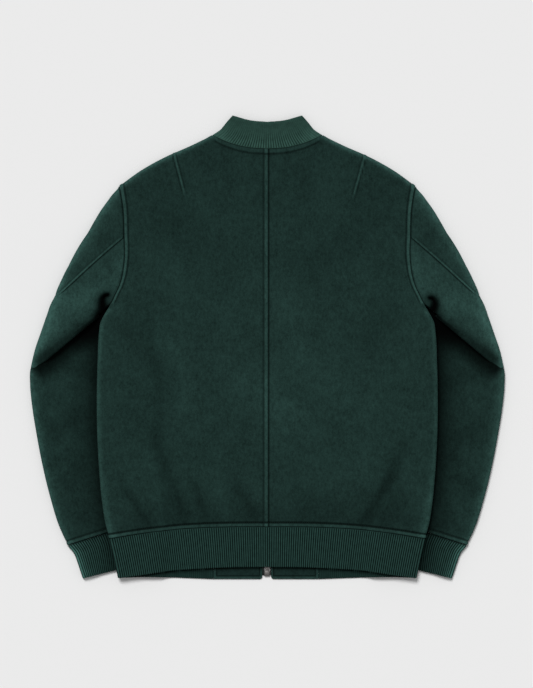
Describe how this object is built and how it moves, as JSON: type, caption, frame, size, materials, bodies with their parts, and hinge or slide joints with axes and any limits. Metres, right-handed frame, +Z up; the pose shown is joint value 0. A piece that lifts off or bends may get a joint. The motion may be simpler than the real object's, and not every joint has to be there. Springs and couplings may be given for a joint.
{
  "type": "bomber jacket",
  "caption": "Zip-front bomber jacket of brushed wool with rib knit collar, cuffs and hem band, laid flat face down with its back up.",
  "frame": {"origin": "on the floor under the middle of the laid-out jacket", "axes": "+Y towards the collar, +X towards the wearer's right sleeve, +Z up out of the jacket's back"},
  "size_m": [0.7658, 0.7512, 0.019],
  "materials": {
    "wool": "brushed wool, soft short nap",
    "rib": "rib knit, matte",
    "tape": "woven tape, matte",
    "zip_metal": "dark satin metal"
  },
  "bodies": {
    "jacket": {"back_left": "wool", "back_right": "wool", "front_left": "wool", "front_right": "wool", "top_sleeve_left": "wool", "top_sleeve_right": "wool", "under_sleeve_left": "wool", "under_sleeve_right": "wool", "hem_tab_left": "wool", "hem_tab_right": "wool", "cuff_left": "rib", "cuff_right": "rib", "collar": "rib", "hem_band": "rib", "zip_tape_left": "tape", "zip_tape_right": "tape", "zip_chain": "zip_metal", "zip_box": "zip_metal", "zip_slider": "zip_metal"},
    "pull": {"zip_pull": "zip_metal"}
  },
  "joints": [
    {"name": "pull_hinge", "type": "hinge", "parent": "jacket", "child": "pull", "pos_m": [0, 0.281, 0.0015], "axis": [1, 0, 0], "range_deg": [0, 150]}
  ]
}
